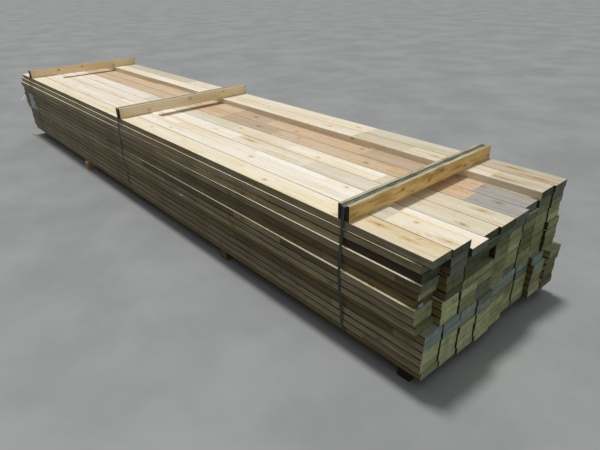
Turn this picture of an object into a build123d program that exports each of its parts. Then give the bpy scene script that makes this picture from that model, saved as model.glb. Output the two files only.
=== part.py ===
"""A strapped pack of planed softwood beams on three bearers, with three grooved battens across its top.

Millimetres. X runs along the beams, Y across the pack and Z up. The origin is on the floor, under the
pack's middle. Layers count down from the top, and columns from the -Y side.
"""
import os

from build123d import *

# The beam: planed square-edged softwood with eased arrises
beam_length = 5100
beam_width = 120
beam_thickness = 38
beam_arris = 2

# How the beams are piled: the top layer has only its outer columns
columns = 9
layers = 15
column_gap = 3
top_layer_outer_columns = 2

# Rough-sawn battens on edge across the top, each with a groove that keeps its strap in place
batten_width = 63
batten_height = 72
batten_arris = 1.5
groove_width = 26
groove_depth = 8

# Rough-sawn bearers under the pack, which leave room for a lift truck's forks
bearer_width = 63
bearer_height = 72
bearer_arris = 1.5

# Flat plastic strapping, pulled tight round the battens and the beams
strap_width = 16
strap_thickness = 1

# How far forward of its groove each strap has crept by the time that it reaches the pack's underside
strap_leans = {"front": 22, "middle": -12, "rear": 0}

# How far the last strap and the last bearer lie from the rear ends of the beams
rear_strap_inset = 298
rear_bearer_inset = 1510

# Places along the pack, measured back from the front ends of the beams
strap_setbacks = {"front": 443, "middle": 2674, "rear": beam_length - rear_strap_inset}
bearer_setbacks = {"front": 90, "middle": 1450, "rear": beam_length - rear_bearer_inset}

# How far each bearer's ends reach out past the bottom layer, or stop short of its sides
bearer_reaches = {"front": -25, "middle": -12, "rear": 22}

# How far each layer has slipped towards -Y, at its front and at its rear end, from the top layer down
front_slips = (0, 7, 5, 19, 12, 15, 31, 28, 29, 7, 6, 10, 12, 13, 1)
rear_slips = (0, 11, 26, 16, 14, 19, 14, 18, 16, 10, 8, 10, 8, 8, 0)

# How far the beams' ends stand forward of the nominal front, from column 1 to column 9, by the last layer
# that they hold for
end_groups = {
    2: (0, 5, 17, -4, 4, 5, -14, -5, 3),
    6: (-38, 5, 7, 4, 2, -3, -1, -2, 4),
    9: (-34, 8, 15, 12, 6, 0, 4, 2, 17),
    11: (10, 15, 16, 21, 5, 0, 5, 22, 51),
    15: (9, 15, 22, 29, 22, 4, 9, 35, 46),
}

# Beams that lie out of step with their neighbours, by layer and column
odd_ends = {(2, 1): -42, (4, 1): -27, (6, 1): -48, (9, 1): -19, (4, 4): -30, (5, 4): -25, (6, 9): 14,
            (10, 9): 52, (11, 8): 34}

# The small unevenness that is left after the ends were patted flush
end_step = 1
end_steps = 5

beam_pitch = beam_width + column_gap
row_width = columns * beam_pitch - column_gap


def layer_columns(layer):
    """The columns that a layer has: all of them, or only the outer ones at the top."""
    if layer > 1:
        return range(1, columns + 1)
    inner = range(top_layer_outer_columns + 1, columns - top_layer_outer_columns + 1)
    return [column for column in range(1, columns + 1) if column not in inner]


def end_shift(layer, column):
    """How far a beam lies forward of the nominal front end."""
    if (layer, column) in odd_ends:
        return odd_ends[layer, column]
    for last_layer, ends in end_groups.items():
        if layer <= last_layer:
            break
    step = (3 * layer + 2 * column) % end_steps - end_steps // 2
    return ends[(column - 1) % len(ends)] - end_step * abs(step)


def slip(layer, setback):
    """How far a layer stands out on the -Y side, at a place along the pack."""
    front = front_slips[(layer - 1) % len(front_slips)]
    rear = rear_slips[(layer - 1) % len(rear_slips)]
    return front + (rear - front) * setback / beam_length


def layer_bottom(layer):
    return bearer_height + (layers - layer) * beam_thickness


# Every beam has the same length, so the ends' shifts say where the pack's middle is
end_shifts = [end_shift(layer, column) for layer in range(1, layers + 1) for column in layer_columns(layer)]
front_end = beam_length / 2 - (max(end_shifts) + min(end_shifts)) / 2

# The layer that slipped furthest and the longest bearer say where the middle of an unslipped row is
slips = [slip(layer, setback) for layer in range(1, layers + 1) for setback in (0, beam_length)]
row_middle = (max(*slips, *bearer_reaches.values()) - max(strap_thickness, *bearer_reaches.values())) / 2
pack_top = layer_bottom(1) + beam_thickness


def layer_plane(layer):
    """The plane across a layer's nominal front end, square to its beams and standing on its underside."""
    turn = (slip(layer, beam_length) - slip(layer, 0)) / beam_length
    corner = (front_end, row_middle - slip(layer, 0), layer_bottom(layer))
    return Plane(origin=corner, x_dir=(-turn, 1, 0), z_dir=(1, turn, 0))


def beam_layer(layer):
    """One layer of separate beams, side by side with the gaps that they were piled with."""
    with BuildPart() as row:
        for column in layer_columns(layer):
            across = (column - (columns + 1) / 2) * beam_pitch
            with BuildSketch(layer_plane(layer).offset(end_shift(layer, column))) as section:
                with Locations((across, beam_thickness / 2)):
                    Rectangle(beam_width, beam_thickness)
                chamfer(section.vertices(), beam_arris)
            extrude(amount=-beam_length)
    return row.part


def batten(setback):
    """A sawn batten as long as the top layer is wide, with the strap's groove ploughed along its top."""
    with BuildPart() as cross_batten:
        with BuildSketch(Plane.XZ.offset(slip(1, setback) - row_middle - row_width / 2)):
            with Locations((front_end - setback, pack_top + batten_height / 2)):
                RectangleRounded(batten_width, batten_height, batten_arris)
            with Locations((front_end - setback, pack_top + batten_height - groove_depth / 2)):
                Rectangle(groove_width, groove_depth, mode=Mode.SUBTRACT)
        extrude(amount=row_width)
    return cross_batten.part


def bearer(setback, reach):
    """A sawn bearer on the floor, across the underside of the bottom layer."""
    length = row_width + 2 * reach
    with BuildPart() as cross_bearer:
        with BuildSketch(Plane.XZ.offset(slip(layers, setback) - row_middle - length / 2)):
            with Locations((front_end - setback, bearer_height / 2)):
                RectangleRounded(bearer_width, bearer_height, bearer_arris)
        extrude(amount=length)
    return cross_bearer.part


def stands_out(above, corner, below):
    """Whether a corner reaches further out than the straight line from the one above to the one below."""
    share = (above[1] - corner[1]) / (above[1] - below[1])
    return corner[0] > above[0] + share * (below[0] - above[0])


def tight_corners(setback, lean, side):
    """The corners that a tight strap bends at on one side, from the groove floor down, as reach and height.

    The side is 1 for +Y and -1 for -Y. A corner that lies behind the line between its neighbours is left
    out, because the strap spans it. A layer that lies askew is met just before or behind the strap.
    """
    beside = strap_width + abs(lean)
    around_strap = (setback - beside, setback + beside)
    batten_end = row_width / 2 - side * slip(1, setback)
    corners = [(batten_end, pack_top + batten_height - groove_depth)]
    for layer in range(1, layers + 1):
        reach = row_width / 2 + max(-side * slip(layer, place) for place in around_strap)
        corners += [(reach, layer_bottom(layer) + beam_thickness), (reach, layer_bottom(layer))]
    tight = []
    for corner in corners:
        while len(tight) > 1 and not stands_out(tight[-2], tight[-1], corner):
            tight.pop()
        tight.append(corner)
    return tight


def strap(setback, lean):
    """A closed band that lies in the batten's groove, hugs the layers that stand out and turns underneath.

    It is drawn on a plane that leans by the lean over the band's height, and is as wide along X everywhere.
    """
    groove_floor = pack_top + batten_height - groove_depth
    slant = lean / (groove_floor - bearer_height)
    stretch = (1 + slant ** 2) ** 0.5
    rear_edge = (front_end - setback - strap_width / 2, row_middle, groove_floor)
    leaning_plane = Plane(origin=rear_edge, x_dir=(0, 1, 0), z_dir=(1, 0, slant))
    right = [(reach, (height - groove_floor) * stretch) for reach, height in tight_corners(setback, lean, 1)]
    left = [(-reach, (height - groove_floor) * stretch) for reach, height in tight_corners(setback, lean, -1)]
    with BuildSketch() as inside:
        with BuildLine():
            Polyline(*right, *reversed(left), close=True)
        make_face()
        fillet(inside.vertices().group_by(Axis.Y)[0], beam_arris)
    with BuildSketch() as outline:
        add(inside.sketch)
        offset(amount=strap_thickness, kind=Kind.INTERSECTION)
        fillet(outline.vertices().group_by(Axis.Y)[-1], strap_thickness)
        add(inside.sketch, mode=Mode.SUBTRACT)
    with BuildPart() as band:
        with BuildSketch(leaning_plane):
            add(outline.sketch)
        extrude(amount=strap_width, dir=(1, 0, 0))
    return band.part


def save(part, name):
    part.label = name
    export_step(part, f"parts/{name}.step")


os.makedirs("parts", exist_ok=True)
for layer in range(1, layers + 1):
    save(beam_layer(layer), f"layer_{layer:02d}_beams")
for place, setback in strap_setbacks.items():
    save(batten(setback), f"{place}_batten")
    save(strap(setback, strap_leans[place]), f"{place}_strap")
for place, setback in bearer_setbacks.items():
    save(bearer(setback, bearer_reaches[place]), f"{place}_bearer")
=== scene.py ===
import math
import random

import bmesh
import bpy
from mathutils import Matrix, Vector


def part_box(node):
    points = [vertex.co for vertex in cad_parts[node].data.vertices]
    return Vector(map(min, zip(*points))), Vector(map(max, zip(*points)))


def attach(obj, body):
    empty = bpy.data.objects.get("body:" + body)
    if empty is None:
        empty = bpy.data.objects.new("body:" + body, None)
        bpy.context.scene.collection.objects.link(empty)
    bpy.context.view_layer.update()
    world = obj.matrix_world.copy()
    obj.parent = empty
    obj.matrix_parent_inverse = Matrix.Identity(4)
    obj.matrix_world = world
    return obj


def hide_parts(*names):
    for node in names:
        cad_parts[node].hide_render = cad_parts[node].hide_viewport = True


# A strapped pack of planed softwood beams on bearers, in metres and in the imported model's frame: X runs
# along the beams towards their front ends, Y across the pack and Z up.
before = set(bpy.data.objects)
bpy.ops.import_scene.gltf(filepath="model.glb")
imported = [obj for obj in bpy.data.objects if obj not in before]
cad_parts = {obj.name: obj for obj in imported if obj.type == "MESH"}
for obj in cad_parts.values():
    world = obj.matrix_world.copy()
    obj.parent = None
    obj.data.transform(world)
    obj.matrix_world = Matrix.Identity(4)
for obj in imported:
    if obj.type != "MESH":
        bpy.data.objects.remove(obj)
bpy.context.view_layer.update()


# Camera and light
# The camera stands at head height off the pack's front corner and looks down its long side. One soft lamp
# shines from nearly straight above, a little from the rear. A broad one fills in from above and a weak one
# from the front, and an even sky reaches the sides.
scene = bpy.context.scene
scene.view_settings.view_transform = "Standard"

camera_data = bpy.data.cameras.new("camera")
camera_data.lens = 29.354
camera_data.sensor_width = 36
camera_data.clip_end = 200
camera = bpy.data.objects.new("camera", camera_data)
scene.collection.objects.link(camera)
heading = math.radians(138.907)
tilt = math.radians(-27.697)
roll = math.radians(-1.2166)
camera.matrix_world = (
    Matrix.Translation((3.3486, -1.8711, 1.5738))
    @ Matrix.Rotation(heading - math.pi / 2, 4, "Z")
    @ Matrix.Rotation(math.pi / 2 + tilt, 4, "X")
    @ Matrix.Rotation(roll, 4, "Z")
)
scene.camera = camera

# Each lamp's strength, its breadth in degrees and where it aims
lamps = {
    "lamp": (2.2, 7, (0.24, -0.02, -1)),
    "fill": (0.65, 75, (0.05, 0, -1)),
    "front_light": (0.22, 50, (-1, 0.1, -0.2)),
}
for name, (energy, breadth, aim) in lamps.items():
    lamp_data = bpy.data.lights.new(name, "SUN")
    lamp_data.energy = energy
    lamp_data.angle = math.radians(breadth)
    lamp_data.color = (1, 0.99, 0.97)
    lamp = bpy.data.objects.new(name, lamp_data)
    scene.collection.objects.link(lamp)
    lamp.rotation_euler = Vector(aim).to_track_quat("-Z", "Y").to_euler()

sky = bpy.data.worlds.new("sky")
scene.world = sky
sky.use_nodes = True
sky.node_tree.nodes["Background"].inputs["Color"].default_value = (0.92, 0.97, 1, 1)
sky.node_tree.nodes["Background"].inputs["Strength"].default_value = 0.15


# Floor
# A power-floated concrete floor, plain and pale, with only a faint cloudiness. It gives little light back
# to the pack, so the pack's sides stay darker than its top.
class Value:
    """A socket whose sums add Math nodes to its tree."""

    def __init__(self, recipe, socket):
        self.recipe = recipe
        self.socket = socket

    def math(self, operation, *others):
        return self.recipe.node("ShaderNodeMath", {"operation": operation}, dict(enumerate((self, *others))))

    def __add__(self, other):
        return self.math("ADD", other)

    def __sub__(self, other):
        return self.math("SUBTRACT", other)

    def __mul__(self, other):
        return self.math("MULTIPLY", other)

    def __truediv__(self, other):
        return self.math("DIVIDE", other)

    def __gt__(self, other):
        return self.math("GREATER_THAN", other)

    def __lt__(self, other):
        return self.math("LESS_THAN", other)

    def __abs__(self):
        return self.math("ABSOLUTE")

    def __rsub__(self, other):
        return self.recipe.node("ShaderNodeMath", {"operation": "SUBTRACT"}, {0: other, 1: self})

    __radd__ = __add__
    __rmul__ = __mul__

    def part(self, axis):
        """One component of a vector, by its letter."""
        return self.recipe.node("ShaderNodeSeparateXYZ", {}, {0: self}, axis)

    def scaled(self, factors):
        return self.recipe.node("ShaderNodeVectorMath", {"operation": "MULTIPLY"}, {0: self, 1: factors})

    def rising(self, low, high):
        """0 up to low, 1 from high, and a smooth rise between them."""
        settings = {"interpolation_type": "SMOOTHSTEP"}
        return self.recipe.node("ShaderNodeMapRange", settings, {"Value": self, 1: low, 2: high})


class Recipe:
    """A node tree that is written line by line."""

    def __init__(self, tree):
        self.tree = tree

    def node(self, kind, settings=None, sockets=None, output=0):
        made = self.tree.nodes.new(kind)
        for name, value in (settings or {}).items():
            setattr(made, name, value)
        for name, value in (sockets or {}).items():
            if isinstance(value, Value):
                self.tree.links.new(value.socket, made.inputs[name])
            else:
                made.inputs[name].default_value = value
        return Value(self, made.outputs[output])

    def place(self):
        return self.node("ShaderNodeTexCoord", {}, {}, "Object")

    def vector(self, x, y, z):
        return self.node("ShaderNodeCombineXYZ", {}, {0: x, 1: y, 2: z})

    def noise(self, place, detail=2, roughness=0.5):
        sockets = {"Vector": place, "Scale": 1, "Detail": detail, "Roughness": roughness}
        return self.node("ShaderNodeTexNoise", {}, sockets)

    def mixed(self, share, first, second, how="MIX"):
        """The first colour with a share of the second one over it."""
        settings = {"data_type": "RGBA", "blend_type": how, "clamp_factor": True}
        first, second = (c if isinstance(c, Value) else (*c, 1) for c in (first, second))
        return self.node("ShaderNodeMix", settings, {0: share, 6: first, 7: second}, 2)

    def stained(self, colour, *stains):
        """The colour with one stain after another over it, each one a share and a tone."""
        for share, tone in stains:
            colour = self.mixed(share, colour, tone, "MULTIPLY")
        return colour

    def bumped(self, height, strength, depth):
        return self.node("ShaderNodeBump", {}, {"Strength": strength, "Distance": depth, "Height": height})


def new_material(name, fill, **constants):
    """A material whose varying sockets come from fill(recipe), and its other ones from the constants."""
    material = bpy.data.materials.new(name)
    material.use_nodes = True
    shader = material.node_tree.nodes["Principled BSDF"]
    for socket, value in constants.items():
        shader.inputs[socket.replace("_", " ")].default_value = value
    for socket, value in fill(Recipe(material.node_tree)).items():
        material.node_tree.links.new(value.socket, shader.inputs[socket])
    return material


def floor_finish(recipe):
    clouds = recipe.noise(recipe.place().scaled((1.3, 1.3, 1.3)), 4, 0.6)
    pale = recipe.mixed(clouds.rising(0.3, 0.7), (0.25, 0.26, 0.26), (0.31, 0.32, 0.32))
    unseen_tone = (0.13, 0.13, 0.125)
    seen = recipe.node("ShaderNodeLightPath", {}, {}, "Is Camera Ray")
    for ray in ("Is Glossy Ray", "Is Transmission Ray"):
        seen = seen.math("MAXIMUM", recipe.node("ShaderNodeLightPath", {}, {}, ray))
    return {"Base Color": recipe.mixed(seen, unseen_tone, pale)}


floor_reach = 60
floor_corners = [(floor_reach * x, floor_reach * y, 0) for x, y in ((-1, -1), (1, -1), (1, 1), (-1, 1))]
floor_mesh = bpy.data.meshes.new("floor")
floor_mesh.from_pydata(floor_corners, [], [(0, 1, 2, 3)])
floor_mesh.materials.append(new_material("floor_concrete", floor_finish, Roughness=0.7))
floor = bpy.data.objects.new("floor", floor_mesh)
scene.collection.objects.link(floor)


# Bearers
# Three rough-sawn softwood bearers on the floor, which hold the pack up for a lift truck's forks. They are
# older than the beams: the rear one is reddish and the middle one dark and dirty. The front one is painted
# near black, as painted shade of the dark under the pack where it stands.
def fraction(value):
    return value.math("FRACT") if isinstance(value, Value) else value % 1


def grain(recipe, along, across, up, seed, ring=0.005):
    """Masks of softwood: latewood rings, fibre, fine streaks and broad bands. The places are in metres."""
    shift = seed * 37
    sway = recipe.noise(recipe.vector(along * 0.8 + shift, across * 2.5, up * 2.5 + shift)) - 0.5
    pith_across = fraction(seed * 17.3) * 0.3 - 0.15
    pith_up = fraction(seed * 29.7) * 0.10 + 0.03
    radius = ((across - pith_across).math("POWER", 2) + (up + pith_up).math("POWER", 2)).math("SQRT")
    rings = fraction((radius + sway * 0.05) / ring)
    return {
        "late": rings * rings * rings,
        "fibre": recipe.noise(recipe.vector(along * 5 + shift, across * 420, up * 420), 3, 0.6),
        "streaks": recipe.noise(recipe.vector(along * 1.1 + shift, across * 30, up * 30 + shift), 3, 0.6),
        "bands": recipe.noise(recipe.vector(along * 0.9 - shift, across * 13, up * 13 - shift), 2, 0.5),
    }


def knot_marks(recipe, along, beside, knots):
    """Masks of knots and of the stained wood round them, from each one's place, radius and stretch."""
    hearts, halos = None, None
    halo_breadth = 0.017
    wobble = recipe.noise(recipe.vector(along * 42, beside * 130, 0), 3, 0.6) * 0.016 - 0.008
    for knot_along, knot_beside, radius, stretch in knots:
        ahead = ((along - knot_along) / stretch).math("POWER", 2)
        aside = (beside - knot_beside).math("POWER", 2)
        away = (ahead + aside).math("SQRT") - radius + wobble
        heart = 1 - away.rising(-0.003, 0.002)
        halo = 1 - away.rising(0, halo_breadth)
        hearts = heart if hearts is None else hearts.math("MAXIMUM", heart)
        halos = halo if halos is None else halos.math("MAXIMUM", halo)
    return hearts, halos


def rough_sawn_finish(node_name, side_tone, top_tone, end_tone, mottling, seed, knots):
    """The finish of a sawn piece that lies across the pack: its sides, its top and its ends."""
    low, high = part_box(node_name)
    centre, half = (low + high) / 2, (high - low) / 2
    skin, rail_depth = 0.001, 0.012

    def fill(recipe):
        place = recipe.place()
        across, along, up = (place.part(axis) - middle for axis, middle in zip("XYZ", centre))
        side = abs(across) > half.x - skin
        top = (up > half.z - rail_depth) * (1 - side)
        end = abs(along) > half.y - skin
        marks = grain(recipe, along, across, up, seed, 0.006)
        mottles = recipe.noise(recipe.vector(along * 9, across * 45, up * 45), 4, 0.65)
        teeth = recipe.noise(recipe.vector(along * 260, up * 9, across * 9), 2, 0.6)
        heart, halo = knot_marks(recipe, along, up, knots)
        wood = recipe.stained(
            recipe.mixed(top, side_tone, top_tone),
            (mottles.rising(0.38, 0.70) * mottling, (0.56, 0.44, 0.28)),
            (marks["streaks"].rising(0.4, 0.7) * 0.45, (0.84, 0.72, 0.54)),
            (marks["late"] * 0.35, (0.80, 0.66, 0.48)),
            (halo * side * 0.5, (0.74, 0.50, 0.30)),
        )
        wood = recipe.mixed(heart * side * 0.85, wood, (0.12, 0.07, 0.035))
        wood = recipe.mixed(end, wood, end_tone)
        wood = recipe.stained(wood, (teeth.rising(0.45, 0.75) * 0.3, (0.78, 0.72, 0.62)))
        return {"Base Color": wood, "Normal": recipe.bumped(teeth + marks["fibre"] * 0.6, 0.6, 0.0012)}

    return fill


# Each one's tone on its sides and ends, and on its top
bearer_tones = {
    # The front bearer's near-black tone is painted shade of the dark under the pack
    "front_bearer": ((0.035, 0.03, 0.022), (0.05, 0.042, 0.03)),
    "middle_bearer": ((0.20, 0.16, 0.09), (0.22, 0.18, 0.11)),
    "rear_bearer": ((0.52, 0.34, 0.22), (0.72, 0.56, 0.40)),
}
for count, (node_name, (side_tone, top_tone)) in enumerate(bearer_tones.items()):
    seed, mottling = 0.53 + 0.11 * count, 0.5
    knots = ((0.21 - 0.3 * count, 0.008, 0.009, 1.3), (-0.34 + 0.2 * count, -0.012, 0.007, 1.2))
    finish = rough_sawn_finish(node_name, side_tone, top_tone, side_tone, mottling, seed, knots)
    material = new_material(node_name, finish, Roughness=0.9, Specular_IOR_Level=0.2)
    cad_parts[node_name].material_slots[0].material = material


# Beams
# Square-edged softwood planed on four sides, finger-jointed end to end from shorter lengths of board,
# each with a grain and a tone of its own. Their ends are cross-cut by saw, and some layers' are sealed.
beam_width = 0.120
beam_thickness = 0.038
beam_length = 5.1
beam_arris = 0.002
beam_pitch = 0.123
columns = 9

# How far apart the points along a beam's faces are, and how much it wanders sideways between them
station = 0.3
bow = 0.0008

# Tones of the wide planed faces
face_tones = {
    "white": (0.95, 0.92, 0.86),
    "cream": (0.87, 0.81, 0.70),
    "pearl": (0.90, 0.85, 0.79),
    "buff": (0.89, 0.83, 0.68),
    "straw": (0.75, 0.66, 0.49),
    "oat": (0.77, 0.73, 0.62),
    "peach": (0.68, 0.54, 0.40),
    "rose": (0.57, 0.46, 0.36),
    "sage": (0.67, 0.63, 0.53),
    "drab": (0.56, 0.51, 0.42),
    "grey": (0.41, 0.405, 0.41),
}

# The boards that show from above: where each finger-jointed length ends, from the front, and its tone
top_boards = {
    1: ((0.52, "straw"), (1.25, "buff"), (1.9, "buff"), (2.6, "buff"), (3.9, "buff"), (5.1, "buff")),
    2: ((0.335, "cream"), (0.52, "sage"), (1.6, "white"), (2.9, "white"), (4.0, "white"), (5.1, "pearl")),
    3: ((0.9, "white"), (1.5, "white"), (2.4, "white"), (3.4, "white"), (5.1, "pearl")),
    4: ((0.42, "oat"), (1.1, "oat"), (1.8, "cream"), (2.9, "white"), (4.1, "pearl"), (5.1, "pearl")),
    5: ((0.7, "oat"), (1.4, "white"), (2.0, "cream"), (3.3, "oat"), (4.4, "pearl"), (5.1, "pearl")),
    6: ((0.26, "grey"), (0.75, "peach"), (1.7, "peach"), (2.3, "rose"), (4.1, "peach"), (5.1, "peach")),
    7: ((0.27, "grey"), (0.5, "peach"), (1.0, "rose"), (1.9, "peach"), (2.3, "rose"), (4.3, "peach"),
        (5.1, "peach")),
    8: ((0.27, "sage"), (0.8, "oat"), (1.2, "sage"), (2.7, "cream"), (3.9, "white"), (5.1, "cream")),
    9: ((0.5, "drab"), (1.2, "sage"), (2.3, "cream"), (3.4, "cream"), (5.1, "sage")),
}

# Tones of the narrow planed faces: in the open as the weather and dirt have left them, and two that are
# painted light and shade: the warm one in the top layer's trough is painted light, brighter than the wood,
# for the light that the pale boards throw onto it, and the dark one between the columns below is painted
# shade of the gaps
edge_tones = {
    "warm": (0.95, 0.87, 0.72),
    "pale": (0.49, 0.43, 0.28),
    "drab": (0.40, 0.355, 0.235),
    "umber": (0.345, 0.295, 0.18),
    "ochre": (0.29, 0.235, 0.12),
    "gold": (0.29, 0.225, 0.075),
    "brown": (0.215, 0.17, 0.085),
    "gap_shade": (0.07, 0.055, 0.032),
    "black": (0.055, 0.04, 0.018),
}

# The outermost beams on the long side that shows, from the second layer down: their lengths' ends and tones
outer_boards = (
    ((0.9, "drab"), (2.4, "pale"), (5.1, "pale")),
    ((0.42, "black"), (1.6, "pale"), (3.1, "pale"), (5.1, "pale")),
    ((0.12, "brown"), (1.3, "drab"), (2.6, "drab"), (3.9, "drab"), (5.1, "pale")),
    ((0.7, "brown"), (1.8, "brown"), (3.2, "umber"), (5.1, "umber")),
    ((0.5, "ochre"), (1.5, "brown"), (2.9, "ochre"), (5.1, "umber")),
    ((0.4, "pale"), (0.8, "brown"), (1.2, "pale"), (2.3, "brown"), (3.7, "drab"), (5.1, "drab")),
    ((0.8, "drab"), (2.0, "drab"), (3.3, "pale"), (5.1, "pale")),
    ((0.5, "drab"), (1.1, "pale"), (1.9, "pale"), (3.5, "umber"), (5.1, "pale")),
    ((0.6, "ochre"), (1.7, "ochre"), (2.8, "umber"), (5.1, "umber")),
    ((0.15, "drab"), (0.45, "brown"), (1.3, "brown"), (2.6, "ochre"), (5.1, "umber")),
    ((0.5, "pale"), (1.5, "umber"), (3.0, "umber"), (5.1, "umber")),
    ((0.9, "drab"), (2.2, "umber"), (3.6, "drab"), (5.1, "drab")),
    ((0.3, "umber"), (1.2, "drab"), (2.7, "umber"), (5.1, "drab")),
    ((0.6, "ochre"), (1.9, "ochre"), (3.4, "ochre"), (5.1, "umber")),
)

# The narrow faces of the second column's beams, which show in the notch at the front
notch_edges = {3: "brown", 4: "brown", 5: "gold", 6: "brown", 7: "gold", 8: "gold", 9: "umber"}

# Tones of the cross-cut ends, from freshly cut to weathered and stained, and of a batch that was sealed
end_tones = {
    "bright": (0.74, 0.80, 0.47),
    "pale": (0.65, 0.71, 0.43),
    "fresh": (0.48, 0.51, 0.30),
    "olive": (0.38, 0.41, 0.23),
    "moss": (0.26, 0.275, 0.145),
    "bark": (0.18, 0.185, 0.11),
    "brown": (0.22, 0.18, 0.075),
    "slate": (0.25, 0.285, 0.235),
    "dark": (0.145, 0.17, 0.12),
    "sealed": (0.40, 0.505, 0.475),
}

# The ends' tone in each layer from the top down, and the beams, by layer and column, that differ from it
layer_ends = ("slate", "slate", "slate", "fresh", "moss", "fresh", "fresh", "olive", "olive", "sealed",
              "sealed", "pale", "pale", "pale", "pale")
odd_end_tones = {
    "bright": ((5, 9), (7, 2), (8, 2), (9, 2), (12, 2), (14, 3), (15, 4)),
    "pale": ((6, 6), (7, 3)),
    "fresh": ((5, 1), (5, 6), (5, 8), (6, 8), (8, 1), (8, 6), (8, 7), (9, 8), (10, 9), (12, 7), (12, 8),
              (13, 5), (13, 6), (13, 7), (14, 1), (14, 5), (14, 8), (15, 1), (15, 6), (15, 7)),
    "olive": ((3, 8), (3, 9), (4, 7), (5, 5), (6, 5), (7, 5), (7, 8), (12, 6), (13, 8)),
    "moss": ((4, 5), (6, 7), (9, 1), (7, 7), (11, 9), (12, 9), (13, 9), (15, 9)),
    "brown": ((6, 1),),
    "bark": ((5, 3),),
    "slate": ((3, 7), (4, 1), (4, 2), (8, 4), (9, 4), (9, 6), (10, 4), (11, 7)),
    # On the fourth column's set-back ends in the fourth and fifth layers, the dark tone is painted shade of
    # their recess
    "dark": ((1, 2), (1, 8), (2, 4), (2, 5), (3, 1), (3, 3), (3, 4), (4, 3), (4, 4), (5, 4), (6, 2), (14, 9)),
}

# Knots in the boards that show from above: how far from the front and from the board's middle, their
# radius, and how many times longer than wide they are
top_knots = {
    1: ((0.31, 0.018, 0.003, 6.0), (0.16, 0.004, 0.003, 5.0), (1.02, -0.02, 0.006, 1.4),
        (2.3, 0.01, 0.005, 1.4)),
    2: ((0.05, -0.02, 0.004, 4.0), (0.23, 0.02, 0.003, 1.2), (1.35, 0.01, 0.005, 1.5),
        (2.2, -0.03, 0.005, 1.3)),
    3: ((0.07, -0.02, 0.004, 3.0), (1.75, -0.01, 0.006, 1.5), (0.75, 0.03, 0.005, 1.4)),
    4: ((0.12, -0.03, 0.006, 2.5), (1.68, 0.015, 0.006, 8.0), (2.05, 0.0, 0.005, 1.4)),
    5: ((0.14, 0.02, 0.005, 4.0), (1.15, -0.02, 0.006, 1.4), (1.95, 0.01, 0.006, 1.5)),
    6: ((0.13, 0.03, 0.006, 2.2), (0.9, -0.01, 0.007, 1.5), (1.5, 0.02, 0.006, 1.4), (1.9, 0.0, 0.008, 1.6)),
    7: ((0.26, 0.02, 0.005, 2.0), (1.05, 0.02, 0.007, 1.4), (1.6, -0.02, 0.007, 1.5),
        (2.08, 0.01, 0.012, 1.6)),
    8: ((0.20, -0.03, 0.005, 9.0), (0.62, 0.0, 0.004, 3.0), (1.45, 0.01, 0.005, 1.4)),
    9: ((0.10, -0.035, 0.005, 9.0), (0.25, 0.01, 0.005, 7.0), (1.3, -0.01, 0.005, 1.4)),
}

# Knots in the long side: how far from the front, how high above the lowest layer's underside, and radius
side_knots = (
    (0.57, 0.398, 0.008), (0.625, 0.300, 0.008), (0.87, 0.130, 0.006), (0.74, 0.110, 0.007),
    (0.68, 0.350, 0.007), (0.68, 0.075, 0.006), (1.44, 0.060, 0.007), (1.12, 0.465, 0.007),
    (0.81, 0.215, 0.006), (1.25, 0.285, 0.006), (0.295, 0.048, 0.006), (0.215, 0.095, 0.006),
    (1.25, 0.433, 0.008),
)


def beam_lines(node):
    """The centre lines of a layer's beams, from the -Y side, as pairs of a front and a rear point."""
    solids = bmesh.new()
    solids.from_mesh(node.data)
    bmesh.ops.remove_doubles(solids, verts=solids.verts, dist=1e-5)
    solids.verts.index_update()
    lines = []
    left = set(solids.verts)
    while left:
        reached = {left.pop()}
        beam = set()
        while reached:
            corner = reached.pop()
            beam.add(corner)
            reached |= {edge.other_vert(corner) for edge in corner.link_edges} - beam
        left -= beam
        beam = sorted(beam, key=lambda corner: corner.index)
        middle = sum(corner.co.x for corner in beam) / len(beam)
        ends = [[c.co for c in beam if (c.co.x > middle) == front] for front in (True, False)]
        lines.append([sum(corners, Vector()) / len(corners) for corners in ends])
    solids.free()
    return sorted(lines, key=lambda line: line[0].y)


def beam_column(line):
    """The column that a beam lies in, counted from the -Y side."""
    return round((line[0].y + line[1].y) / 2 / beam_pitch + (columns + 1) / 2)


def shows_from_above(layer, column):
    """Whether a beam's wide face is open above: the top layer's, and the next one's in the trough."""
    return layer == 1 or layer == 2 and 3 <= column <= 7


def board_lengths(layer, column, chance):
    """Where each finger-jointed length of a beam ends, and the tone of its faces."""
    if shows_from_above(layer, column):
        return top_boards[column]
    if column == 1:
        return [(reach, chance.choice(("buff", "cream", "buff"))) for reach, _ in outer_boards[layer - 2]]
    shortest_board, longest_board, shortest_rest = 0.45, 1.5, 0.4
    lengths = []
    reach = 0
    while reach < beam_length - shortest_rest:
        reach = min(reach + chance.uniform(shortest_board, longest_board), beam_length)
        lengths.append((reach, chance.choice(("white", "cream", "cream", "straw", "peach", "rose"))))
    lengths[-1] = (beam_length, lengths[-1][1])
    return lengths


def end_tone(layer, column):
    odd = (name for name, beams in odd_end_tones.items() if (layer, column) in beams)
    return end_tones[next(odd, layer_ends[layer - 1])]


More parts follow.
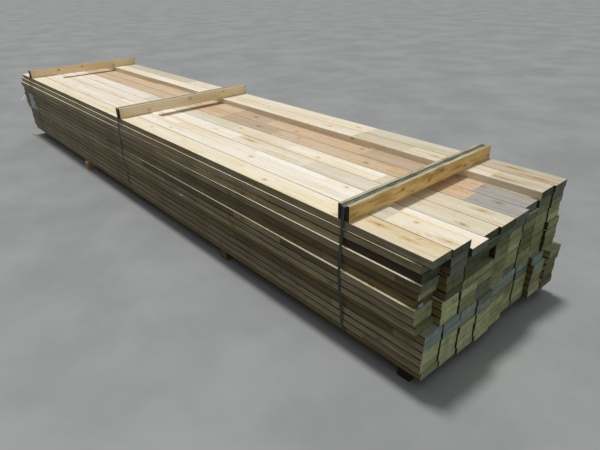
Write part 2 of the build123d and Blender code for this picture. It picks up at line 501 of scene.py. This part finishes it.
def edge_tone(layer, column, along, chance):
    """The tone of a board's narrow faces, and how much dirt and painted seam shade go on them."""
    outer_dirt_and_seam_shade, inner_dirt_and_seam_shade = 0.75, 0.1
    dirt_and_seam_shade = outer_dirt_and_seam_shade
    if column == 1:
        boards = outer_boards[layer - 2] if layer > 1 else ((beam_length, "drab"),)
        name = next(tone for reach, tone in boards if along < reach)
    elif column == 2 and along == 0 and layer in notch_edges:
        name = notch_edges[layer]
    elif column == 9:
        name = chance.choice(("pale", "drab", "umber"))
    elif column == 8 and layer > 9:
        name = "brown"
    else:
        # Inside the pack: painted light on the top layer's faces in the trough, painted shade in the gaps
        # below it
        name = "warm" if layer == 1 else "gap_shade"
        dirt_and_seam_shade = inner_dirt_and_seam_shade
    return edge_tones[name], dirt_and_seam_shade


def varied(tone, chance, amount, mask=1):
    """A tone made a little lighter or darker by chance, with a mask after it."""
    share = 1 + chance.uniform(-amount, amount)
    return tuple(min(colour * share, 0.95) for colour in tone) + (mask,)


def two_knots(known, start, stop, chance, spread, luck):
    """The knots of a board: the known ones that lie in it, or else by chance. A radius of -1 is no knot."""
    smallest, largest, longest_stretch = 0.004, 0.009, 1.8
    knots = [knot for knot in known if start <= knot[0] < stop]
    while not known and len(knots) < 2:
        radius = chance.uniform(smallest, largest) if chance.random() < luck else -1
        place = (chance.uniform(start, stop), chance.uniform(-spread, spread))
        knots.append((*place, radius, chance.uniform(1, longest_stretch)))
    return (knots + [(0, 0, -1, 1)] * 2)[:2]


def layer_lines(layer, lines):
    """A mesh of one edge for each finger-jointed length, with the numbers that its finish needs."""
    chance = random.Random(layer)
    layer_middle = (len(outer_boards) + 1 - layer + 0.5) * beam_thickness
    in_layer = [(along, height - layer_middle, radius, 1.3) for along, height, radius in side_knots
                if abs(height - layer_middle) < beam_thickness / 2]
    face_spread, face_luck = 0.05, 0.5
    edge_spread, edge_luck = 0.014, 0.25
    points, edges = [], []
    numbers = {"along": [], "board_seed": [], "beam_seed": []}
    colours = {name: [] for name in ("face_tone", "edge_tone", "end_tone", "face_knot_1", "face_knot_2",
                                     "edge_knot_1", "edge_knot_2")}
    for line in lines:
        column = beam_column(line)
        on_top = shows_from_above(layer, column)
        beam_seed = chance.random()
        end = varied(end_tone(layer, column), chance, 0.08)
        start = 0
        for stop, tone in board_lengths(layer, column, chance):
            face_known, edge_known = top_knots[column] if on_top else (), in_layer if column == 1 else ()
            face_knots = two_knots(face_known, start, stop, chance, face_spread, face_luck)
            edge_knots = two_knots(edge_known, start, stop, chance, edge_spread, edge_luck)
            face = varied(face_tones[tone], chance, 0.03, 0 if on_top else 1)
            edge, dirt_and_seam_shade = edge_tone(layer, column, start, chance)
            board = {
                "face_tone": face, "edge_tone": varied(edge, chance, 0.08, dirt_and_seam_shade), "end_tone": end,
                "face_knot_1": face_knots[0], "face_knot_2": face_knots[1],
                "edge_knot_1": edge_knots[0], "edge_knot_2": edge_knots[1],
            }
            board_numbers = {"board_seed": chance.random(), "beam_seed": beam_seed}
            edges.append((len(points), len(points) + 1))
            for along in (start, stop):
                points.append(line[0].lerp(line[1], along / beam_length))
                for name, number in {"along": along, **board_numbers}.items():
                    numbers[name].append(number)
                for name, colour in board.items():
                    colours[name] += colour
            start = stop
    mesh = bpy.data.meshes.new(f"layer_{layer:02d}_lines")
    mesh.from_pydata(points, edges, [])
    for name, values in numbers.items():
        mesh.attributes.new(name, "FLOAT", "POINT").data.foreach_set("value", values)
    for name, values in colours.items():
        mesh.attributes.new(name, "FLOAT_COLOR", "POINT").data.foreach_set("color", values)
    return mesh


def new_tree(name, inputs):
    """A geometry tree with named inputs: its recipe, and its inputs by name."""
    tree = bpy.data.node_groups.new(name, "GeometryNodeTree")
    tree.interface.new_socket("Geometry", in_out="OUTPUT", socket_type="NodeSocketGeometry")
    tree.interface.new_socket("Geometry", in_out="INPUT", socket_type="NodeSocketGeometry")
    for label, kind in inputs.items():
        tree.interface.new_socket(label, in_out="INPUT", socket_type=kind)
    recipe = Recipe(tree)
    group_input = tree.nodes.new("NodeGroupInput")
    return recipe, {socket.name: Value(recipe, socket) for socket in group_input.outputs if socket.name}


def grown(name, seed_mesh, tree, **inputs):
    """An object whose mesh is what the tree makes of the seed mesh."""
    piece = bpy.data.objects.new(name, seed_mesh)
    scene.collection.objects.link(piece)
    modifier = piece.modifiers.new("tree", "NODES")
    modifier.node_group = tree
    for socket in tree.interface.items_tree:
        if socket.in_out == "INPUT" and socket.name in inputs:
            modifier[socket.identifier] = inputs[socket.name]
    depsgraph = bpy.context.evaluated_depsgraph_get()
    made = bpy.data.meshes.new_from_object(piece.evaluated_get(depsgraph), depsgraph=depsgraph)
    piece.modifiers.clear()
    piece.data = made
    made.name = name
    return piece


def beams_tree():
    """Sweeps an eased rectangle along each finger-jointed length and closes the joints between them."""
    recipe, given = new_tree("planed_beams", {
        "Width": "NodeSocketFloat", "Thickness": "NodeSocketFloat", "Arris": "NodeSocketFloat",
        "Length": "NodeSocketFloat", "Station": "NodeSocketFloat", "Bow": "NodeSocketFloat",
        "Planed": "NodeSocketMaterial", "Sawn": "NodeSocketMaterial"})
    node = recipe.node

    def named(name, kind="FLOAT"):
        return node("GeometryNodeInputNamedAttribute", {"data_type": kind}, {"Name": name})

    def stored(geometry, name, value, kind, domain):
        settings = {"data_type": kind, "domain": domain}
        sockets = {"Geometry": geometry, "Name": name, "Value": value}
        return node("GeometryNodeStoreNamedAttribute", settings, sockets)

    lines = node("GeometryNodeMeshToCurve", {}, {0: given["Geometry"]})
    stations = {"Curve": lines, "Length": given["Station"]}
    lines = node("GeometryNodeResampleCurve", {"mode": "LENGTH"}, stations)
    lines = node("GeometryNodeSetCurveNormal", {"mode": "Z_UP"}, {0: lines})
    rectangle = {"Width": given["Width"], "Height": given["Thickness"]}
    section = node("GeometryNodeCurvePrimitiveQuadrilateral", {}, rectangle)
    arris = {"Curve": section, "Count": 3, "Radius": given["Arris"]}
    section = node("GeometryNodeFilletCurve", {"mode": "POLY"}, arris)
    section = stored(section, "section", node("GeometryNodeInputPosition"), "FLOAT_VECTOR", "POINT")
    beams = node("GeometryNodeCurveToMesh", {}, {0: lines, 1: section, "Fill Caps": True})

    normal = node("GeometryNodeInputNormal")
    across_beam = abs(normal.part("X")) > 0.9
    narrow = abs(normal.part("Y")) > 0.8
    inside = (named("along") > 0.001) * (named("along") < given["Length"] - 0.001)
    inner_caps = {"Geometry": beams, "Selection": across_beam * inside}
    beams = node("GeometryNodeDeleteGeometry", {"domain": "FACE", "mode": "ONLY_FACE"}, inner_caps)
    beams = stored(beams, "wood_seed", named("board_seed"), "FLOAT", "FACE")
    for name in ("face_tone", "edge_tone", "end_tone"):
        beams = stored(beams, f"wood_{name}", named(name, "FLOAT_COLOR"), "FLOAT_COLOR", "FACE")
    for count in (1, 2):
        face_knot, edge_knot = (named(f"{side}_knot_{count}", "FLOAT_COLOR") for side in ("face", "edge"))
        choice = {"Switch": narrow, "False": face_knot, "True": edge_knot}
        knot = node("GeometryNodeSwitch", {"input_type": "RGBA"}, choice)
        beams = stored(beams, f"wood_knot_{count}", knot, "FLOAT_COLOR", "FACE")
    beams = node("GeometryNodeMergeByDistance", {}, {"Geometry": beams, "Distance": 0.0001})
    windings = {"W": named("along") * 0.6 + named("beam_seed") * 40, "Detail": 0}
    sway = node("ShaderNodeTexNoise", {"noise_dimensions": "1D"}, windings) - 0.5
    aside = recipe.vector(0, sway * given["Bow"] * 2, 0)
    beams = node("GeometryNodeSetPosition", {}, {"Geometry": beams, "Offset": aside})
    beams = node("GeometryNodeSetShadeSmooth", {}, {"Geometry": beams, "Shade Smooth": False})
    beams = node("GeometryNodeSetMaterial", {}, {"Geometry": beams, "Material": given["Planed"]})
    sawn = {"Geometry": beams, "Selection": across_beam, "Material": given["Sawn"]}
    beams = node("GeometryNodeSetMaterial", {}, sawn)
    beams = node("GeometryNodeRealizeInstances", {}, {0: beams})
    output = recipe.tree.nodes.new("NodeGroupOutput")
    recipe.tree.links.new(beams.socket, output.inputs[0])
    return recipe.tree


def read(recipe, name, output="Fac"):
    return recipe.node("ShaderNodeAttribute", {"attribute_name": name}, {}, output)


def read_knot(recipe, name):
    place = read(recipe, name, "Color")
    return place.part("X"), place.part("Y"), place.part("Z"), read(recipe, name, "Alpha")


def planed_finish(recipe):
    """The planed faces: each board's tone, its grain and knots, dirt on the narrow faces, and painted seam
    shade.
    """
    section = read(recipe, "section", "Vector")
    across, up, along = section.part("X"), 0 - section.part("Y"), read(recipe, "along")
    seed = read(recipe, "wood_seed")
    narrow = abs(across) > beam_width / 2 - 0.0003
    beside = across + (up - across) * narrow
    marks = grain(recipe, along, across, up, seed)
    knots = [read_knot(recipe, name) for name in ("wood_knot_1", "wood_knot_2")]
    heart, halo = knot_marks(recipe, along, beside, knots)

    # The board's own tone, and the front ends of the wide faces that other beams cover, darkened towards the
    # end tone over their first few centimetres
    face, covered = (read(recipe, "wood_face_tone", output) for output in ("Color", "Alpha"))
    edge, dirt_and_seam_shade = (read(recipe, "wood_edge_tone", output) for output in ("Color", "Alpha"))
    darkened_front = (1 - along.rising(0.015, 0.075)) * covered * 0.9
    face = recipe.mixed(darkened_front, face, read(recipe, "wood_end_tone", "Color").scaled((0.5, 0.5, 0.45)))
    wood = recipe.mixed(narrow, face, edge)

    # Grain and stains, with brown swirls near the knots of the warm boards that show from above
    sap = recipe.noise(recipe.vector(along * 2.2 - seed * 50, across * 24, up * 24), 2, 0.5)
    dashes = recipe.noise(recipe.vector(along * 24 + seed * 50, across * 300, up * 300), 1, 0.5)
    warmth = (face.part("X") - face.part("Z")) * 5 - 0.4
    swirls = recipe.noise(recipe.vector(along * 6 + seed * 70, across * 26, up * 26 + seed * 9), 3, 0.55)
    swirls = (1 - abs(swirls - 0.5).rising(0.005, 0.03)) * (1 - along.rising(0.3, 0.9) * 0.6)
    patches = recipe.noise(recipe.vector(along * 3.5 - seed * 90, across * 8, 0), 2, 0.5)
    patches = patches.rising(0.46, 0.62).math("MAXIMUM", halo)
    wood = recipe.stained(
        wood,
        (marks["bands"].rising(0.42, 0.62) * 0.5, (0.95, 0.85, 0.68)),
        (marks["streaks"].rising(0.45, 0.72) * 0.75, (0.85, 0.79, 0.66)),
        (marks["late"] * 0.4, (0.86, 0.73, 0.55)),
        (marks["fibre"].rising(0.3, 0.8) * 0.25, (0.85, 0.78, 0.68)),
        (sap.rising(0.56, 0.72) * 0.5, (0.93, 0.90, 0.68)),
        (swirls * patches * warmth * (1 - covered), (0.80, 0.57, 0.34)),
        (dashes.rising(0.64, 0.74) * 0.6, (0.56, 0.44, 0.34)),
        (halo * 0.7, (0.82, 0.64, 0.42)),
    )
    wood = recipe.mixed(heart * 0.65, wood, (0.20, 0.12, 0.07))

    # Dirt on the narrow faces, painted shade along their arrises as dark lines at the seams between layers,
    # and painted shade in the gaps inside the outer columns
    grime = recipe.noise(recipe.vector(along * 5, across * 60, up * 120), 3, 0.65)
    seam_shade_breakup = recipe.noise(recipe.vector(along * 1.5 + seed * 30, 0, 0), 2, 0.5).rising(0.35, 0.6)
    # Painted shade: the arrises at the seams between layers are darkened into dark lines, broken up by noise
    high_arris = (up > beam_thickness / 2 - 0.0045) * (abs(across) > beam_width / 2 - 0.0035)
    low_arris = ((up + beam_thickness / 2) < 0.004) * (abs(across) > beam_width / 2 - 0.003)
    place = recipe.place()
    outer_gap, gap_breadth = 0.43, 0.05
    near_gap = abs(abs(place.part("Y")) - outer_gap) < gap_breadth
    shaded_above = (place.part("Y") < 0) * 0.3 + 0.3
    wood = recipe.stained(
        wood,
        (grime.rising(0.42, 0.66) * narrow * dirt_and_seam_shade, (0.50, 0.44, 0.34)),
        (high_arris * covered * dirt_and_seam_shade * (seam_shade_breakup * 0.4 + 0.85), (0.10, 0.085, 0.065)),
        (low_arris * dirt_and_seam_shade * 1.3, (0.05, 0.04, 0.03)),
        (narrow * near_gap * (place.part("Z") > shaded_above), (0.25, 0.22, 0.18)),
    )
    relief = marks["fibre"] * 0.4 + marks["late"] * 0.6 - heart * 0.5
    roughness = marks["late"] * 0.12 + 0.55
    return {"Base Color": wood, "Roughness": roughness, "Normal": recipe.bumped(relief, 0.25, 0.0006)}


def sawn_end_finish(recipe):
    """The cross-cut ends: growth rings, saw marks, blotches, weather and a rim of painted seam shade."""
    section = read(recipe, "section", "Vector")
    across, up, seed = section.part("X"), section.part("Y"), read(recipe, "wood_seed")
    marks = grain(recipe, read(recipe, "along"), across, up, seed, 0.004)
    blotches = recipe.noise(recipe.vector(across * 30, up * 30, seed * 50), 3, 0.6)
    saw = recipe.noise(recipe.vector(across * 500 + up * 120, up * 12, 0), 2, 0.5)
    place = recipe.place()
    weather = recipe.noise(recipe.vector(place.part("Y") * 11, place.part("Z") * 17, 0), 4, 0.65)
    # Painted shade: a darker rim round each end, broken up by the blotches, for the seams between the ends
    rim = (abs(up) > beam_thickness / 2 - 0.0028).math("MAXIMUM", abs(across) > beam_width / 2 - 0.0025)
    wood = recipe.stained(
        read(recipe, "wood_end_tone", "Color"),
        (blotches.rising(0.35, 0.65) * 0.7, (0.72, 0.72, 0.60)),
        (marks["late"] * 0.45, (0.76, 0.66, 0.52)),
        (saw.rising(0.4, 0.7) * 0.25, (0.8, 0.8, 0.78)),
        (weather.rising(0.46, 0.70) * 0.6, (0.56, 0.58, 0.50)),
        (rim * blotches.rising(0.3, 0.6) * 0.5, (0.45, 0.43, 0.33)),
    )
    return {"Base Color": wood, "Normal": recipe.bumped(saw + blotches * 0.5, 0.5, 0.001)}


planed_wood = new_material("planed_beam", planed_finish, Specular_IOR_Level=0.25)
sawn_end = new_material("sawn_end", sawn_end_finish, Roughness=0.85, Specular_IOR_Level=0.15)
planed_beams = beams_tree()
layers = sorted(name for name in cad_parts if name.startswith("layer_"))
for layer, node_name in enumerate(layers, 1):
    seed_mesh = layer_lines(layer, beam_lines(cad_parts[node_name]))
    beams = grown(f"beams_{layer:02d}", seed_mesh, planed_beams, Width=beam_width, Thickness=beam_thickness,
                  Arris=beam_arris, Length=beam_length, Station=station, Bow=bow, Planed=planed_wood,
                  Sawn=sawn_end)
    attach(beams, "root")
    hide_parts(node_name)


# Battens
# Three rough-sawn softwood battens on edge across the top, with a groove ploughed along each for its
# strap. Their top rails have greyed, their end grain is dark, and the front one is the yellowest.

# Each one's tone on its sides, on its top and on its ends, and how mottled it is
batten_tones = {
    "front_batten": ((0.89, 0.67, 0.30), (0.54, 0.52, 0.42), (0.05, 0.045, 0.03), 0.9),
    "middle_batten": ((0.95, 0.82, 0.58), (0.68, 0.60, 0.49), (0.14, 0.11, 0.07), 0.1),
    "rear_batten": ((0.95, 0.79, 0.53), (0.58, 0.50, 0.39), (0.10, 0.08, 0.05), 0.1),
}

# Knots in their sides: how far along and how high from the middle, their radius and how stretched they are
batten_knots = {
    "front_batten": ((-0.20, 0.010, 0.006, 1.4), (0.0, -0.004, 0.006, 1.3), (0.10, 0.016, 0.004, 1.4),
                     (0.31, -0.012, 0.005, 1.5)),
    "middle_batten": ((-0.33, -0.01, 0.003, 1.4), (0.02, 0.012, 0.004, 1.4), (0.33, 0.016, 0.003, 1.3)),
    "rear_batten": ((-0.28, 0.010, 0.005, 1.4), (-0.04, 0.014, 0.004, 1.3), (0.30, -0.01, 0.005, 1.4)),
}
for count, (node_name, (side_tone, top_tone, cut_tone, mottling)) in enumerate(batten_tones.items()):
    seed, knots = 0.31 + 0.17 * count, batten_knots[node_name]
    finish = rough_sawn_finish(node_name, side_tone, top_tone, cut_tone, mottling, seed, knots)
    material = new_material(node_name, finish, Roughness=0.85, Specular_IOR_Level=0.25)
    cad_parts[node_name].material_slots[0].material = material


# Straps
# Dark green polyester strapping, rolled with a fine diamond emboss that leaves a plain margin on each edge.
# It runs in each batten's groove and round the pack, and has crept a little out of true. It is dusty, and
# its top runs have a painted sheen: a lighter green where they face the light.
strap_width = 0.016
emboss_pitch = 0.0035
plain_margin = 0.0015


def strap_finish(node_name):
    low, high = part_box(node_name)
    lean = (high.x - low.x - strap_width) * (1 if node_name == "front_strap" else -1)
    top_middle = (low.x + high.x) / 2 - lean / 2

    def fill(recipe):
        place = recipe.place()
        fallen = (high.z - place.part("Z")) / (high.z - low.z)
        across = place.part("X") - top_middle - fallen * lean
        along = place.part("Y") + place.part("Z")
        turns = 2 * math.pi / emboss_pitch
        one_way = ((along + across) * turns).math("SINE")
        other_way = ((along - across) * turns).math("SINE")
        pressed = abs(one_way * other_way) * (abs(across) < strap_width / 2 - plain_margin)
        green = recipe.mixed(pressed, (0.018, 0.03, 0.022), (0.045, 0.075, 0.06))
        dust_and_sheen = recipe.noise(recipe.vector(across * 60, along * 9, 0), 3, 0.6)
        # Dust, and a painted sheen on the top runs, which take a far larger share of the lighter green
        on_top = place.part("Z") > high.z - 0.0012
        green = recipe.mixed(dust_and_sheen.rising(0.35, 0.75) * (on_top * 0.65 + 0.15), green, (0.27, 0.38, 0.33))
        relief = recipe.bumped(pressed, 0.5, 0.0003)
        return {"Base Color": green, "Roughness": dust_and_sheen * 0.25 + 0.3, "Normal": relief}

    return fill


for place in ("front", "middle", "rear"):
    material = new_material(f"{place}_strap", strap_finish(f"{place}_strap"), Specular_IOR_Level=0.35)
    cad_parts[f"{place}_strap"].material_slots[0].material = material


# Label sheet
# A blank pale plastic sheet that the rear strap holds flat against the long side. Its free corners have
# come away from the wood a little. Its creases are painted darker, as painted shade.
label_corner = Vector((-2.42, -0.5660, 0.322))
label_size = (0.20, 0.156)
label_thickness = 0.0003
strap_x = -2.254

# How far the sheet's free end stands off the wood, and how tightly that end ripples
label_lift = 0.010
ripples = 21


def label_height(along, up):
    """How far the sheet stands off the wood: more, the further it is from the strap that holds it."""
    free = abs(label_corner.x + along - strap_x) / label_size[0]
    return label_lift * free ** 2 * (0.35 + 0.65 * math.cos(up * ripples) ** 2)


def label_finish(recipe):
    place = recipe.place()
    creases = recipe.noise(recipe.vector(place.part("X") * 26, 0, place.part("Z") * 12), 3, 0.6)
    # Painted shade: the sheet is mixed darker along its creases
    sheet = recipe.mixed(creases.rising(0.4, 0.62), (0.56, 0.62, 0.66), (0.40, 0.45, 0.48))
    return {"Base Color": sheet, "Normal": recipe.bumped(creases, 0.6, 0.004)}


label_mesh = bpy.data.meshes.new("blank_label")
label = bmesh.new()
steps = 14
rows = []
for row in range(steps + 1):
    up = label_size[1] * row / steps
    reaches = [label_size[0] * column / steps for column in range(steps + 1)]
    points = [label_corner + Vector((along, -label_height(along, up), up)) for along in reaches]
    rows.append([label.verts.new(point) for point in points])
for low, high in zip(rows, rows[1:]):
    for column in range(steps):
        label.faces.new((low[column], low[column + 1], high[column + 1], high[column]))
bmesh.ops.recalc_face_normals(label, faces=label.faces)
bmesh.ops.solidify(label, geom=label.faces, thickness=label_thickness)
label.to_mesh(label_mesh)
label.free()
label_mesh.materials.append(new_material("label_plastic", label_finish, Roughness=0.45))
blank_label = bpy.data.objects.new("blank_label", label_mesh)
scene.collection.objects.link(blank_label)
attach(blank_label, "root")


# Scraps
# What is caught on the pack: a crumpled piece of pale blue film and a torn sliver at the first column's
# front ends, a bright chip and a splinter on the long side, and a strip of white film at the rear corner.
# Each is one thin closed shape, stretched between two tips and crumpled, and painted darker in its creases
# as painted shade.
def scrap_finish(tone, crease_shade_tone):
    def fill(recipe):
        creases = recipe.noise(recipe.place().scaled((160, 160, 160)), 3, 0.6)
        # Painted shade: darker in the creases
        return {"Base Color": recipe.mixed(creases.rising(0.4, 0.62), tone, crease_shade_tone)}

    return fill


# Each one's two tips, half its breadth, half its thickness, how crumpled it is, its tone, and the darker
# tone of the painted shade in its creases
scraps = {
    "film_scrap": ((2.5085, -0.553, 0.4225), (2.5085, -0.517, 0.4225), (0, 0, 0.0083), 0.006, 0.3,
                   (0.42, 0.62, 0.80), (0.22, 0.36, 0.48)),
    "torn_sliver": ((2.5585, -0.5565, 0.128), (2.5585, -0.5565, 0.156), (0.004, 0, 0), 0.004, 0.25,
                    (0.80, 0.78, 0.66), (0.45, 0.42, 0.30)),
    "bright_chip": ((0.698, -0.572, 0.315), (0.746, -0.572, 0.320), (0, 0, 0.006), 0.0014, 0.3,
                    (0.95, 0.90, 0.82), (0.80, 0.66, 0.50)),
    "splinter": ((-1.93, -0.5605, 0.250), (-1.815, -0.5605, 0.300), (0, 0, 0.0035), 0.0025, 0.2,
                 (0.95, 0.88, 0.70), (0.75, 0.66, 0.46)),
    "film_strip": ((-2.555, -0.5675, 0.432), (-2.69, -0.605, 0.350), (-0.0098, 0.0064, 0.0134), 0.001, 0.1,
                   (0.95, 0.95, 0.95), (0.80, 0.82, 0.84)),
}
for count, (name, (tip, other_tip, breadth, thickness, crumple, *tones)) in enumerate(scraps.items()):
    chance = random.Random(100 + count)
    middle, length = (Vector(tip) + Vector(other_tip)) / 2, (Vector(other_tip) - Vector(tip)) / 2
    breadth = Vector(breadth)
    depth = length.cross(breadth).normalized() * thickness
    scrap = bmesh.new()
    bmesh.ops.create_icosphere(scrap, subdivisions=3, radius=1)
    for corner in scrap.verts:
        along, across, off = corner.co * (1 - chance.uniform(0, crumple))
        corner.co = middle + length * along + breadth * across + depth * off
    scrap_mesh = bpy.data.meshes.new(name)
    scrap.to_mesh(scrap_mesh)
    scrap.free()
    scrap_mesh.materials.append(new_material(name, scrap_finish(*tones), Roughness=0.5))
    piece = bpy.data.objects.new(name, scrap_mesh)
    scene.collection.objects.link(piece)
    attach(piece, "root")
